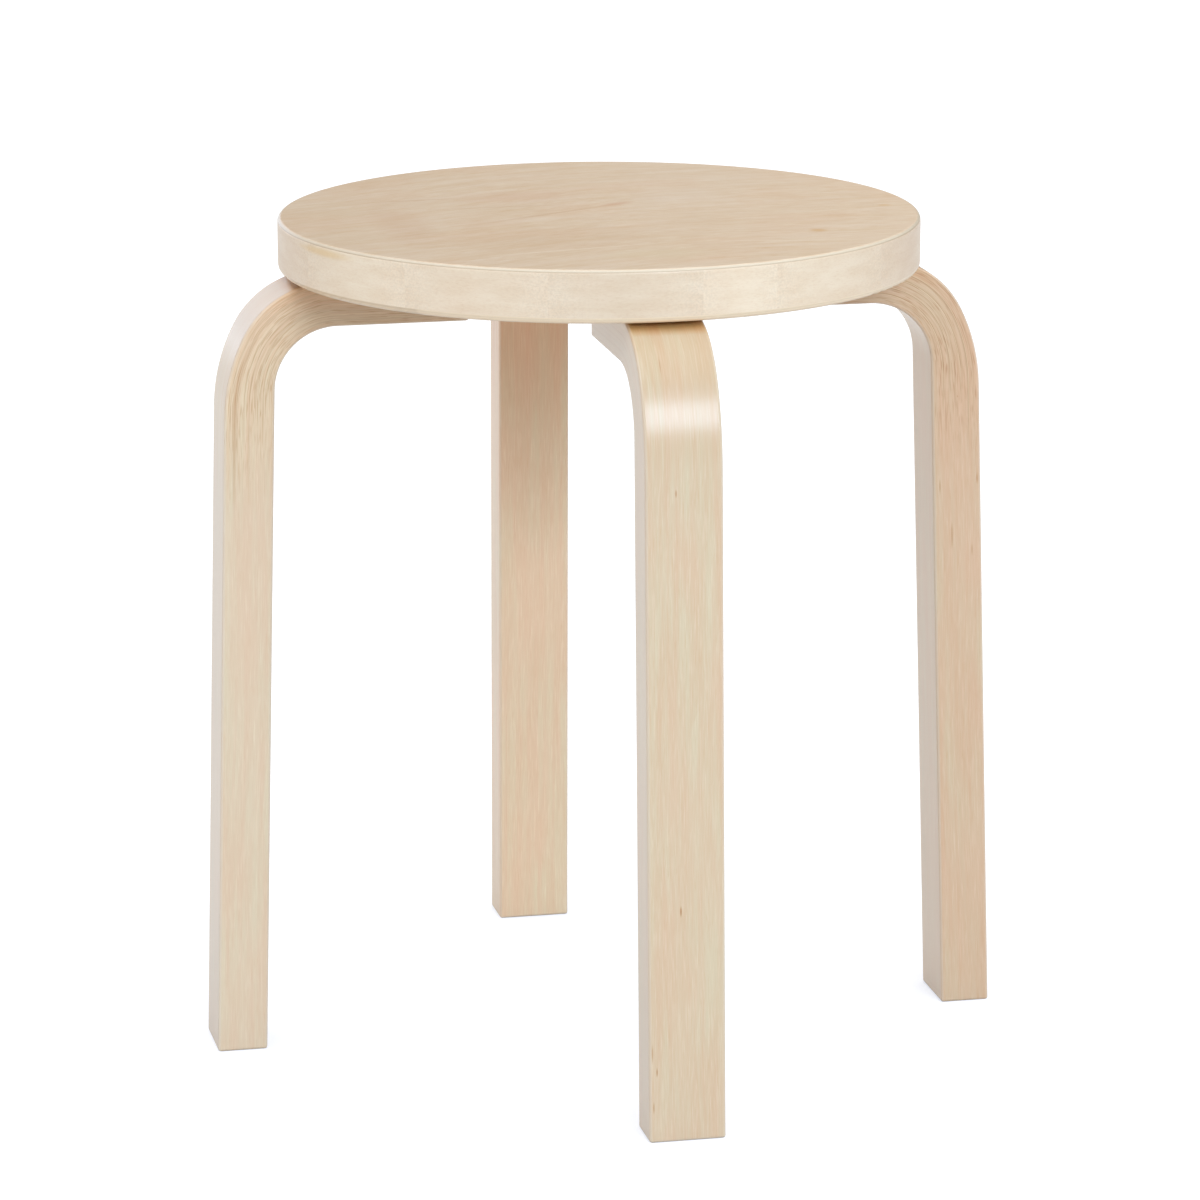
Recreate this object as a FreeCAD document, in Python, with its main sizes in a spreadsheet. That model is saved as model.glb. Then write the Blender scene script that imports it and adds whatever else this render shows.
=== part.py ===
import FreeCAD, Part
import math
import os
import Sketcher

# Stacking stool in birch: a round seat on four bent legs.
# The origin is on the floor under the middle of the seat, +Z up, millimetres and degrees.
# The right leg lies along +X, the back leg along +Y, the front leg along -Y.
SIZES = (
    # the seat: a core board in a ring of solid blocks, between two sheets of veneer
    ("seat_height", 450.0),
    ("seat_radius", 172.0),
    ("seat_thickness", 28.0),
    ("top_veneer", 1.6),
    ("bottom_veneer", 3.2),
    ("band_width", 22.0),
    ("top_rounding", 2.5),
    ("bottom_rounding", 3.5),
    ("core_glue_gap", 0.1),
    ("full_blocks", 13),
    ("closing_block_angle", 14.0),
    ("closing_block_start", -84.0),
    # the legs: the splay leans each foot outwards
    ("foot_reach", 216.8),
    ("leg_splay", 1.6),
    ("leg_thickness", 27.0),
    ("leg_width", 40.5),
    ("leg_rounding", 1.5),
    ("arm_thickness", 24.0),
    ("arm_end", 75.0),
    # the bend: an arc next to the arm and one next to the leg, which meet at the split angle
    ("outer_arm_radius", 52.0),
    ("outer_leg_radius", 100.0),
    ("inner_arm_radius", 34.0),
    ("inner_leg_radius", 34.0),
    ("bend_split", 27.0),
    # the saw kerfs in the arm and the bend, and the veneers glued into them
    ("kerf_count", 7),
    ("kerf_width", 1.4),
    ("kerf_run", 5.0),
    ("kerf_stagger", 6.0),
    # the countersunk screws up through each arm into the seat
    ("screw_length", 38.0),
    ("screw_radius", 2.25),
    ("screw_tip", 4.0),
    ("head_radius", 4.4),
    ("head_sink", 0.4),
    ("recess_width", 1.1),
    ("recess_span", 4.6),
    ("recess_depth", 2.2),
    ("screw_gap", 0.05),
    ("pilot_spare", 1.0),
    ("screw_end_margin", 18.0),
    ("screw_row_spacing", 34.0),
    ("screw_spread", 20.0),
    # how far a cutting shape runs past the face that it cuts
    ("overrun", 3.0),
)

LEG_ANGLES = {"right_leg": 0.0, "back_leg": 90.0, "left_leg": 180.0, "front_leg": 270.0}

# the kerfs run past the bend by uneven lengths: from one to the next, this many more steps of the stagger
KERF_STEP = 3

# levels and places that more than one piece takes its own from
SEAT_UNDERSIDE = "(Sizes.seat_height - Sizes.seat_thickness)"
ARM_UNDERSIDE = f"({SEAT_UNDERSIDE} - Sizes.arm_thickness)"
CORE_LEVEL = f"({SEAT_UNDERSIDE} + Sizes.bottom_veneer)"
CORE_HEIGHT = "(Sizes.seat_thickness - Sizes.top_veneer - Sizes.bottom_veneer)"
BAND_INSIDE = "(Sizes.seat_radius - Sizes.band_width)"
BLOCK_ANGLE = "(360 - Sizes.closing_block_angle) / Sizes.full_blocks"
HEAD_LEVEL = f"({ARM_UNDERSIDE} + Sizes.head_sink)"
END_SCREW = "(Sizes.arm_end + Sizes.screw_end_margin)"
PAIR_SCREWS = f"({END_SCREW} + Sizes.screw_row_spacing)"
SCREW_PLACES = (
    (END_SCREW, "0"),
    (PAIR_SCREWS, "Sizes.screw_spread / 2"),
    (PAIR_SCREWS, "-Sizes.screw_spread / 2"),
)

# the sketch's origin, and the ends and the centre of a line or an arc
ORIGIN = (-1, 1)
START, END, CENTRE = 1, 2, 3
UP = FreeCAD.Vector(0, 0, 1)
SAME = 1e-6

doc = FreeCAD.newDocument("stacking_stool")
sheet = doc.addObject("Spreadsheet::Sheet", "Sizes")
for row, (alias, number) in enumerate(SIZES, start=1):
    sheet.set(f"A{row}", alias)
    sheet.set(f"B{row}", str(number))
    sheet.setAlias(f"B{row}", alias)
doc.recompute()


def value(expression):
    """The number that an expression over the sheet gives."""
    result = sheet.evalExpression(expression)
    return float(getattr(result, "Value", result))


def turned(angle):
    """A placement turned about the stool's upright axis."""
    return FreeCAD.Placement(FreeCAD.Vector(), FreeCAD.Rotation(UP, angle))


def new_object(kind, label, **links):
    """A document object with its label and the objects that it is made from."""
    item = doc.addObject(kind, label)
    item.Label = label
    for name, linked in links.items():
        setattr(item, name, linked)
    return item


def cylinder(label, radius, level, height):
    """An upright cylinder on the stool's axis, standing at a level."""
    item = new_object("Part::Cylinder", label)
    item.setExpression("Radius", radius)
    item.setExpression("Height", height)
    item.setExpression("Placement.Base.z", level)
    return item


def new_sketch(body, role, name, level=None):
    """A sketch on one of the body's origin planes, raised to a level if one is given."""
    sketch = body.newObject("Sketcher::SketchObject", name)
    plane = [feature for feature in body.Origin.OriginFeatures if feature.Role == role][0]
    sketch.AttachmentSupport = [(plane, "")]
    sketch.MapMode = "FlatFace"
    if level:
        sketch.setExpression("AttachmentOffset.Base.z", level)
    return sketch


def bind(sketch, kind, *where, to, name):
    """Add a named constraint whose value is an expression over the sheet."""
    number = math.radians(value(to)) if kind == "Angle" else value(to)
    index = sketch.addConstraint(Sketcher.Constraint(kind, *where, number))
    sketch.renameConstraint(index, name)
    sketch.setExpression(f"Constraints.{name}", to)


def pin(sketch, geometry, position, across, up, name):
    """Hold a point of the sketch at two expressions."""
    bind(sketch, "DistanceX", *ORIGIN, geometry, position, to=across, name=f"{name}_across")
    bind(sketch, "DistanceY", *ORIGIN, geometry, position, to=up, name=f"{name}_up")


def polygon(sketch, corners):
    """A closed outline through corners, each given as a pair of expressions."""
    points = [FreeCAD.Vector(value(across), value(up), 0) for across, up in corners]
    for index, point in enumerate(points):
        sketch.addGeometry(Part.LineSegment(point, points[(index + 1) % len(points)]))
    for index, (across, up) in enumerate(corners):
        before = (index - 1) % len(corners)
        sketch.addConstraint(Sketcher.Constraint("Coincident", before, END, index, START))
        pin(sketch, index, START, across, up, f"corner_{index}")


def circles(sketch, radius):
    """A circle at the place of each screw of one leg."""
    for index, (across, up) in enumerate(SCREW_PLACES):
        centre = FreeCAD.Vector(value(across), value(up), 0)
        sketch.addGeometry(Part.Circle(centre, UP, value(radius)))
        pin(sketch, index, CENTRE, across, up, f"screw_{index}")
        bind(sketch, "Radius", index, to=radius, name=f"hole_{index}")


def edges_at(shape, level):
    """The names of the edges that lie wholly at one level."""
    return [f"Edge{number}" for number, edge in enumerate(shape.Edges, start=1)
            if abs(edge.BoundBox.ZMin - level) < SAME and abs(edge.BoundBox.ZMax - level) < SAME]


def seat_form():
    """The whole seat as it is turned, with the pilot holes of all the screws in its underside."""
    body = new_object("PartDesign::Body", "seat_form")
    outline = new_sketch(body, "XY_Plane", "seat_outline", SEAT_UNDERSIDE)
    outline.addGeometry(Part.Circle(FreeCAD.Vector(), UP, value("Sizes.seat_radius")))
    outline.addConstraint(Sketcher.Constraint("Coincident", 0, CENTRE, *ORIGIN))
    bind(outline, "Radius", 0, to="Sizes.seat_radius", name="rim")
    base = body.newObject("PartDesign::Pad", "seat_disc")
    base.Profile = outline
    base.setExpression("Length", "Sizes.seat_thickness")
    doc.recompute()

    for level, radius in (("Sizes.seat_height", "Sizes.top_rounding"),
                          (SEAT_UNDERSIDE, "Sizes.bottom_rounding")):
        rounding = body.newObject("PartDesign::Fillet", "rim_rounding")
        rounding.Base = (base, edges_at(base.Shape, value(level)))
        rounding.setExpression("Radius", radius)
        doc.recompute()
        base = rounding

    places = new_sketch(body, "XY_Plane", "pilot_places", SEAT_UNDERSIDE)
    circles(places, "Sizes.screw_radius + Sizes.screw_gap")
    pilots = body.newObject("PartDesign::Pocket", "pilot_holes")
    pilots.Profile = places
    pilots.Reversed = True
    pilots.setExpression(
        "Length", f"{HEAD_LEVEL} + Sizes.screw_length + Sizes.pilot_spare - {SEAT_UNDERSIDE}")
    doc.recompute()
    ring = body.newObject("PartDesign::PolarPattern", "pilot_holes_of_all_legs")
    ring.Originals = [pilots]
    ring.Axis = (places, ["N_Axis"])
    ring.Angle = 360.0
    ring.Occurrences = len(LEG_ANGLES)
    body.Tip = ring
    doc.recompute()
    return body


def seat_layers(form):
    """The two sheets of veneer and the core board, each cut from the whole seat."""
    past_rim = "Sizes.seat_radius + Sizes.overrun"
    layers = (
        ("seat_top_veneer", past_rim, "Sizes.seat_height - Sizes.top_veneer", "Sizes.top_veneer"),
        ("seat_bottom_veneer", past_rim, SEAT_UNDERSIDE, "Sizes.bottom_veneer"),
        ("seat_core", f"{BAND_INSIDE} - Sizes.core_glue_gap", CORE_LEVEL, CORE_HEIGHT),
    )
    pieces = []
    for label, radius, level, height in layers:
        slab = cylinder(f"{label}_blank", radius, level, height)
        pieces.append(new_object("Part::Common", label, Base=form, Tool=slab))
    return pieces


def edge_blocks(form):
    """The ring of solid blocks round the core: a short closing block, then the full ones."""
    closing = "Sizes.closing_block_angle"
    inside = cylinder("band_inside", BAND_INSIDE, CORE_LEVEL, CORE_HEIGHT)
    blocks = []
    for number in range(int(value("Sizes.full_blocks")) + 1):
        label = f"edge_block_{number + 1:02d}"
        start, width = "Sizes.closing_block_start", closing
        if number:
            start = f"{start} + {closing} + {number - 1} * {BLOCK_ANGLE}"
            width = BLOCK_ANGLE
        wedge = cylinder(f"{label}_wedge", "Sizes.seat_radius + Sizes.overrun", CORE_LEVEL, CORE_HEIGHT)
        wedge.Placement.Rotation = FreeCAD.Rotation(UP, value(start))
        wedge.setExpression("Placement.Rotation.Angle", start)
        wedge.setExpression("Angle", width)
        blank = new_object("Part::Cut", f"{label}_blank", Base=wedge, Tool=inside)
        blocks.append(new_object("Part::Common", label, Base=form, Tool=blank))
    return blocks


def blended_radius(side, share, shift):
    """The radius of one arc of a bend line, between the bend's outside and its inside."""
    outer, inner = f"Sizes.outer_{side}_radius", f"Sizes.inner_{side}_radius"
    return f"({outer} + ({inner} - {outer}) * {share} - {shift})"


def depth_level(share, shift="0"):
    """The height of a bend line's arm, at its share of the depth from the outside to the inside."""
    return f"({SEAT_UNDERSIDE} - Sizes.arm_thickness * {share} - {shift})"


def bend_foot(share):
    """The height at which a bend line becomes the straight leg."""
    arm_radius, leg_radius = (blended_radius(side, share, "0") for side in ("arm", "leg"))
    return (f"({depth_level(share)} - {arm_radius} - ({leg_radius} - {arm_radius}) * sin(Sizes.bend_split)"
            f" + {leg_radius} * sin(Sizes.leg_splay))")


def bend_line(sketch, share, shift, arm_end, leg_end):
    """One side of a bent strip: a straight arm, two arcs and a straight leg.

    Share is the line's depth in the leg, from 0 on the outside to 1 on the inside, and shift moves
    it further in. The line starts at arm_end and stops at the height leg_end.
    """
    level = depth_level(share, shift)
    reach = f"Sizes.foot_reach - (Sizes.leg_thickness * {share} + {shift}) / cos(Sizes.leg_splay)"
    arm_radius = blended_radius("arm", share, shift)
    leg_radius = blended_radius("leg", share, shift)

    # where the two arcs lie: first as if the arm's centre were on the axis, then moved out to the leg
    splay, split = math.radians(value("Sizes.leg_splay")), math.radians(value("Sizes.bend_split"))
    small, large, top, bottom = value(arm_radius), value(leg_radius), value(level), value(leg_end)
    arm_centre = FreeCAD.Vector(0, top - small, 0)
    leg_centre = arm_centre - FreeCAD.Vector(math.cos(split), math.sin(split), 0) * (large - small)
    joint = leg_centre + FreeCAD.Vector(math.cos(splay), math.sin(splay), 0) * large
    outwards = FreeCAD.Vector(value(reach) - joint.y * math.tan(splay) - joint.x, 0, 0)
    arm_centre, leg_centre, joint = (point + outwards for point in (arm_centre, leg_centre, joint))
    arm_start = FreeCAD.Vector(value(arm_end), top, 0)
    arm_stop = FreeCAD.Vector(arm_centre.x, top, 0)
    foot = FreeCAD.Vector(value(reach) - bottom * math.tan(splay), bottom, 0)

    arm, arm_arc, leg_arc, leg = (sketch.addGeometry(geometry) for geometry in (
        Part.LineSegment(arm_start, arm_stop),
        Part.ArcOfCircle(Part.Circle(arm_centre, UP, small), split, math.pi / 2),
        Part.ArcOfCircle(Part.Circle(leg_centre, UP, large), splay, split),
        Part.LineSegment(joint, foot),
    ))
    sketch.addConstraint([
        Sketcher.Constraint("Tangent", arm, END, arm_arc, END),
        Sketcher.Constraint("Tangent", arm_arc, START, leg_arc, END),
        Sketcher.Constraint("Tangent", leg_arc, START, leg, START),
        Sketcher.Constraint("Horizontal", arm),
    ])
    bind(sketch, "Radius", arm_arc, to=arm_radius, name=f"arm_radius_{arm}")
    bind(sketch, "Radius", leg_arc, to=leg_radius, name=f"leg_radius_{arm}")
    bind(sketch, "Angle", arm_arc, to="90 - Sizes.bend_split", name=f"split_{arm}")
    bind(sketch, "Angle", leg, to="Sizes.leg_splay - 90", name=f"lean_{arm}")
    pin(sketch, arm, START, arm_end, level, f"arm_{arm}")
    pin(sketch, leg, END, f"{reach} - {leg_end} * tan(Sizes.leg_splay)", leg_end, f"leg_{arm}")
    return (arm, START), (leg, END)


def bent_strip(label, outer, inner, width, arm_end, leg_end):
    """A body bent from arm to leg between two lines, each given by its share and its shift."""
    body = new_object("PartDesign::Body", label)
    outline = new_sketch(body, "XZ_Plane", f"{label}_outline")
    outer_ends = bend_line(outline, *outer, arm_end, leg_end)
    inner_ends = bend_line(outline, *inner, arm_end, leg_end)
    for one, other in zip(outer_ends, inner_ends):
        closing = outline.addGeometry(
            Part.LineSegment(outline.getPoint(*one), outline.getPoint(*other)))
        outline.addConstraint([
            Sketcher.Constraint("Coincident", closing, START, *one),
            Sketcher.Constraint("Coincident", closing, END, *other),
        ])
    pad = body.newObject("PartDesign::Pad", f"{label}_pad")
    pad.Profile = outline
    pad.SideType = "Symmetric"
    pad.setExpression("Length", width)
    doc.recompute()
    return body


def edges_of_flat_ends(shape):
    """The names of the edges round the two sides, the arm's end and the foot of a bent leg."""
    side, arm_end, foot = FreeCAD.Vector(0, 1, 0), FreeCAD.Vector(-1, 0, 0), FreeCAD.Vector(0, 0, -1)
    names = set()
    for face in shape.Faces:
        if not isinstance(face.Surface, Part.Plane):
            continue
        normal = face.normalAt(0, 0)
        is_side = abs(normal.dot(side)) > 1 - SAME
        is_foot = normal.isEqual(foot, SAME) and face.BoundBox.ZMax < SAME
        if is_side or is_foot or normal.isEqual(arm_end, SAME):
            names |= {f"Edge{number}" for number, edge in enumerate(shape.Edges, start=1)
                      if any(edge.isSame(other) for other in face.Edges)}
    return sorted(names)


def leg_form():
    """The whole leg as it is machined: bent, rounded along its edges and drilled for its screws."""
    body = bent_strip("leg_form", ("0", "0"), ("1", "0"), "Sizes.leg_width", "Sizes.arm_end", "0")
    bent = body.Tip
    rounding = body.newObject("PartDesign::Fillet", "leg_rounding")
    rounding.Base = (bent, edges_of_flat_ends(bent.Shape))
    rounding.setExpression("Radius", "Sizes.leg_rounding")
    doc.recompute()

    places = new_sketch(body, "XY_Plane", "screw_places", ARM_UNDERSIDE)
    circles(places, "Sizes.screw_radius")
    holes = body.newObject("PartDesign::Hole", "screw_holes")
    holes.Profile = places
    holes.Reversed = True
    holes.DepthType = "Dimension"
    holes.DrillPoint = "Flat"
    holes.HoleCutType = "Countersink"
    holes.HoleCutCustomValues = True
    holes.HoleCutCountersinkAngle = 90.0
    holes.setExpression("Diameter", "2 * (Sizes.screw_radius + Sizes.screw_gap)")
    holes.setExpression(
        "HoleCutDiameter", "2 * (Sizes.head_radius + Sizes.head_sink + Sizes.screw_gap)")
    holes.setExpression("Depth", "Sizes.arm_thickness + Sizes.overrun")
    doc.recompute()
    return body


def kerf_forms():
    """The saw kerfs as solid strips, which run past the leg's faces all round."""
    count = int(value("Sizes.kerf_count"))
    half = "(Sizes.kerf_width / 2)"
    kerfs = []
    for number in range(1, count + 1):
        share = f"({number} / (Sizes.kerf_count + 1))"
        run = f"(Sizes.kerf_run + Sizes.kerf_stagger * {number * KERF_STEP % count})"
        kerfs.append(bent_strip(
            f"kerf_{number}", (share, f"(-{half})"), (share, half),
            "Sizes.leg_width + 2 * Sizes.overrun", "Sizes.arm_end - Sizes.overrun",
            f"({bend_foot(share)} - {run})"))
    return kerfs


def leg_pieces():
    """Each leg's sawn blank and the veneers in its kerfs, cut from the whole leg."""
    form = leg_form()
    kerfs = kerf_forms()
    all_kerfs = new_object("Part::MultiFuse", "all_kerfs", Shapes=kerfs)
    pieces = []
    for label, angle in LEG_ANGLES.items():
        pieces.append(new_object("Part::Cut", label, Base=form, Tool=all_kerfs))
        for number, kerf in enumerate(kerfs, start=1):
            pieces.append(new_object(
                "Part::Common", f"{label}_kerf_veneer_{number}", Base=form, Tool=kerf))
        for piece in pieces[-len(kerfs) - 1:]:
            piece.Placement = turned(angle)
    return pieces


def screw(number, place):
    """One countersunk wood screw with a cross recess, upright under its place in the arm."""
    body = new_object("PartDesign::Body", f"screw_{number}")
    section = new_sketch(body, "XZ_Plane", f"screw_{number}_section")
    polygon(section, (
        ("0", "0"),
        ("Sizes.head_radius", "0"),
        ("Sizes.screw_radius", "Sizes.head_radius - Sizes.screw_radius"),
        ("Sizes.screw_radius", "Sizes.screw_length - Sizes.screw_tip"),
        ("0", "Sizes.screw_length"),
    ))
    turning = body.newObject("PartDesign::Revolution", f"screw_{number}_turning")
    turning.Profile = section
    turning.ReferenceAxis = (section, ["V_Axis"])
    turning.Angle = 360.0
    doc.recompute()

    narrow, wide = "Sizes.recess_width / 2", "Sizes.recess_span / 2"
    for x, y in ((narrow, wide), (wide, narrow)):
        slot = new_sketch(body, "XY_Plane", f"screw_{number}_slot")
        polygon(slot, ((f"-{x}", f"-{y}"), (x, f"-{y}"), (x, y), (f"-{x}", y)))
        recess = body.newObject("PartDesign::Pocket", f"screw_{number}_recess")
        recess.Profile = slot
        recess.Reversed = True
        recess.setExpression("Length", "Sizes.recess_depth")
        doc.recompute()
    body.setExpression("Placement.Base.x", place[0])
    body.setExpression("Placement.Base.y", place[1])
    body.setExpression("Placement.Base.z", HEAD_LEVEL)
    return body


def screw_sets():
    """The three screws of each leg, as one group for each leg."""
    screws = [screw(number, place) for number, place in enumerate(SCREW_PLACES, start=1)]
    sets = []
    for label, angle in LEG_ANGLES.items():
        group = new_object("Part::Compound", f"{label}_screws", Links=screws)
        group.Placement = turned(angle)
        sets.append(group)
    return sets


def check(pieces):
    """Stop if a feature failed or a piece has no sound shape."""
    for item in doc.Objects:
        if {"Invalid", "Error"} & set(item.State):
            raise RuntimeError(f"{item.Label} is {item.State}")
    for piece in pieces:
        if piece.Shape.isNull() or not piece.Shape.isValid():
            raise RuntimeError(f"{piece.Label} has no valid shape")


seat = seat_form()
pieces = seat_layers(seat) + edge_blocks(seat) + leg_pieces() + screw_sets()
doc.recompute()
check(pieces)
os.makedirs("parts", exist_ok=True)
for piece in pieces:
    piece.Shape.exportStep(f"parts/{piece.Label}.step")
    solids = len(piece.Shape.Solids)
    print(f"{piece.Label}: {solids} solid{'s' if solids > 1 else ''}, {piece.Shape.Volume / 1000:.2f} cm3")
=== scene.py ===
"""The looks of a stacking stool in clear-lacquered birch, built round its packed frame.

The frame's origin is on the floor under the middle of the seat, +Z is up, and lengths are metres.
The right leg lies along +X, the back leg along +Y and the front leg along -Y.
"""

import math
from collections import namedtuple

import bmesh
import bpy
import numpy as np
from bpy.props import FloatProperty, FloatVectorProperty, IntProperty, PointerProperty
from mathutils import Matrix, Vector


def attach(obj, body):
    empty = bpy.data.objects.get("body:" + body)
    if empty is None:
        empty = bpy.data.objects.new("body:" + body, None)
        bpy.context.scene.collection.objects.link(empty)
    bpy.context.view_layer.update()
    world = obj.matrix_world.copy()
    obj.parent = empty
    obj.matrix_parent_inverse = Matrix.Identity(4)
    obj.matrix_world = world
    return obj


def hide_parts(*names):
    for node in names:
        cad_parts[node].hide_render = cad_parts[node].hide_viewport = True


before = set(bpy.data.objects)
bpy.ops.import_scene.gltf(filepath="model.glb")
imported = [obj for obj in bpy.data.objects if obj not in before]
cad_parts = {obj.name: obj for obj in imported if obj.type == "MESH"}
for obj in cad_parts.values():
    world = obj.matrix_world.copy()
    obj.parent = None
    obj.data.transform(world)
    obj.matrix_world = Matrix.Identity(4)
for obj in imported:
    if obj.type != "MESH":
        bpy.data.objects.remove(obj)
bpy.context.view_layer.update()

bl_info = {
    "name": "Stacking Stool",
    "version": (1, 0, 0),
    "blender": (4, 5, 0),
    "location": "3D View > Sidebar > Stool",
    "description": "Builds a round stacking stool on four bent birch legs",
    "category": "Add Mesh",
}

MM = 0.001
BODY = "root"
LEG_ANGLES = {"right_leg": 0.0, "back_leg": 90.0, "left_leg": 180.0, "front_leg": 270.0}

# the kerfs run past the bend by uneven lengths: this many steps of the stagger from one kerf to the next,
# counted round by the number of kerfs
KERF_STEP = 3

# below this height a leg is plain, and its rows of edges are level
LEVEL_ROWS = 300 * MM

# how finely the legs are divided along their grain, and the rounded edges and circles along their curves
ARM_ROWS, ARM_ARC_ROWS, LEG_ARC_ROWS, LEG_ROWS = 3, 16, 8, 6
RIM_STEPS, EDGE_STEPS = 8, 3
SEAT_STEPS, PIT_STEPS, FLOOR_STEPS = 288, 32, 96
SHARP_ANGLE = math.radians(34)
TINY = 1e-6

# each leg and each block is a board of its own: this far apart their figures have nothing in common
BOARD_STEP = 0.7
LEG_NUMBERS = {leg: number for number, leg in enumerate(LEG_ANGLES)}


def board_shift(leg):
    """Where in its own wood a leg's figure begins."""
    return Vector((LEG_NUMBERS[leg] * BOARD_STEP, 0, 0))


def linear(hex_colour):
    """An sRGB hex colour as linear red, green, blue and alpha."""
    shares = [int(hex_colour[start:start + 2], 16) / 255 for start in (1, 3, 5)]
    return [share / 12.92 if share <= 0.04045 else ((share + 0.055) / 1.055) ** 2.4
            for share in shares] + [1.0]


def length(name, description, millimetres):
    """A property that is a length."""
    return FloatProperty(name=name, description=description, default=millimetres * MM, min=0.0,
                         precision=4, subtype="DISTANCE", unit="LENGTH")


def angle(name, description, degrees):
    """A property that is an angle."""
    return FloatProperty(name=name, description=description, default=math.radians(degrees),
                         subtype="ANGLE", unit="ROTATION")


def colour(name, description, hex_colour):
    """A property that is a colour."""
    return FloatVectorProperty(name=name, description=description, default=linear(hex_colour), size=4,
                               min=0.0, max=1.0, subtype="COLOR")


class SeatSizes(bpy.types.PropertyGroup):
    """Sizes of the seat."""
    height: length("Seat height", "Height of the seat's top above the floor", 450)
    thickness: length("Seat thickness", "Thickness of the whole seat", 28)
    radius: length("Seat radius", "Radius of the seat at its band", 172)
    top_veneer: length("Top veneer", "Thickness of the sheet on the seat's top", 1.6)
    bottom_veneer: length("Bottom veneer", "Thickness of the sheet under the seat", 3.2)
    band_width: length("Band width", "Width of the ring of blocks round the core", 22)
    top_rounding: length("Top rounding", "Radius of the rounded top rim", 2.5)
    bottom_rounding: length("Bottom rounding", "Radius of the rounded bottom rim", 3.5)
    full_blocks: IntProperty(name="Full blocks", description="Blocks in the band besides the closing one",
                             default=13, min=3)
    closing_angle: angle("Closing block", "Angle that the short closing block takes up", 14)
    closing_start: angle("Band start", "Angle at which the closing block begins", -84)


class LegSizes(bpy.types.PropertyGroup):
    """Sizes of the four legs, which are alike."""
    foot_reach: length("Foot reach", "Distance of a foot's outside from the middle of the stool", 216.8)
    splay: angle("Splay", "Lean of each leg outwards", 1.6)
    thickness: length("Leg thickness", "Thickness of the straight leg", 27)
    width: length("Leg width", "Width of the leg and of its arm", 40.5)
    rounding: length("Rounding", "Radius of the rounded edges", 1.5)
    arm_level: length("Arm level", "Height of the arm's top, which bears the seat", 422)
    arm_thickness: length("Arm thickness", "Thickness of the arm under the seat", 24)
    arm_end: length("Arm end", "Distance of the arm's end from the middle of the stool", 75)
    outer_arm_radius: length("Outer arm radius", "Radius of the bend's outside next to the arm", 52)
    inner_arm_radius: length("Inner arm radius", "Radius of the bend's inside next to the arm", 34)
    outer_leg_radius: length("Outer leg radius", "Radius of the bend's outside next to the leg", 100)
    inner_leg_radius: length("Inner leg radius", "Radius of the bend's inside next to the leg", 34)
    bend_split: angle("Bend split", "Angle at which the bend's two arcs meet", 27)
    kerf_count: IntProperty(name="Kerfs", description="Saw kerfs in each leg", default=7, min=1)
    kerf_width: length("Kerf width", "Thickness of the veneer glued into each kerf", 1.4)
    kerf_run: length("Kerf run", "How far the shortest kerf runs past the bend", 5)
    kerf_stagger: length("Kerf stagger", "Step between the lengths of the kerfs", 6)
    screw_end_margin: length("End screw", "Distance of the end screw from the arm's end", 18)
    screw_row_spacing: length("Screw spacing", "Distance of the pair of screws from the end screw", 34)
    screw_spread: length("Screw spread", "Distance between the screws of the pair", 20)
    pit_radius: length("Countersink radius", "Radius of the countersink at the arm's underside", 4.85)
    pit_depth: length("Countersink depth", "Depth of the countersink that shows round a screw's head", 2)


class WoodColours(bpy.types.PropertyGroup):
    """Colours of the wood, the steel and the floor."""
    leg_pale: colour("Leg, pale", "Pale wood of the legs", "#CEBEA0")
    leg_warm: colour("Leg, warm", "Warm streaks of the legs", "#CEB394")
    top_pale: colour("Seat top, pale", "Pale wood of the seat's top", "#D8C5AF")
    top_warm: colour("Seat top, warm", "Warm streaks of the seat's top", "#D2BCA1")
    band_pale: colour("Band, pale", "Pale wood of the seat's band", "#E3D6C0")
    band_warm: colour("Band, warm", "Warm streaks of the seat's band", "#DAC8AE")
    pink: colour("Pink patch", "Broad pinkish patches in the wood", "#D3B294")
    growth_line: colour("Growth line", "Late wood at the end of each year's growth", "#C39B6E")
    light_fibre: colour("Light fibre", "Palest of the fine fibres", "#E8DBC4")
    pore: colour("Pore", "Fine dark lines in the bent wood", "#A87C50")
    steel: colour("Screw", "Zinc plating of the screws", "#C9C8C2")
    floor: colour("Floor", "Studio floor", "#B5B0A8")


class StageSizes(bpy.types.PropertyGroup):
    """Sizes of the stage."""
    floor_radius: length("Floor radius", "Radius of the studio floor", 40000)
    lens: FloatProperty(name="Lens", default=166.94, min=1.0,
                        description="Focal length of the camera in millimetres, for a sensor 36 mm wide")


def lies_at(item, axis, place):
    """Whether the whole of an edge or a face lies at one place along an axis."""
    return all(abs(vert.co[axis] - place) < TINY for vert in item.verts)


def new_object(bm, name, material):
    """Put a bmesh into the scene as an object."""
    mesh = bpy.data.meshes.new(name)
    bm.to_mesh(mesh)
    bm.free()
    mesh.materials.append(material)
    piece = bpy.data.objects.new(name, mesh)
    bpy.context.scene.collection.objects.link(piece)
    return piece


def finish_node(node, material):
    """Give a CAD node, whose shape stays, a better material."""
    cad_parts[node].material_slots[0].material = material


def new_piece(bm, name, node, material):
    """Check that a mesh is closed, and hand it over in place of a CAD node."""
    if not all(edge.is_manifold for edge in bm.edges):
        raise RuntimeError(f"the mesh of {name} isn't closed")
    bmesh.ops.recalc_face_normals(bm, faces=bm.faces)
    for face in bm.faces:
        face.smooth = True
    for edge in bm.edges:
        edge.smooth = edge.calc_face_angle() < SHARP_ANGLE
    piece = new_object(bm, name, material)
    # the flat faces keep their own direction, and the roundings between them take up the turn
    piece.modifiers.new("Even normals", "WEIGHTED_NORMAL").keep_sharp = True
    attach(piece, BODY)
    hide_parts(node)


# The wood

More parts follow.
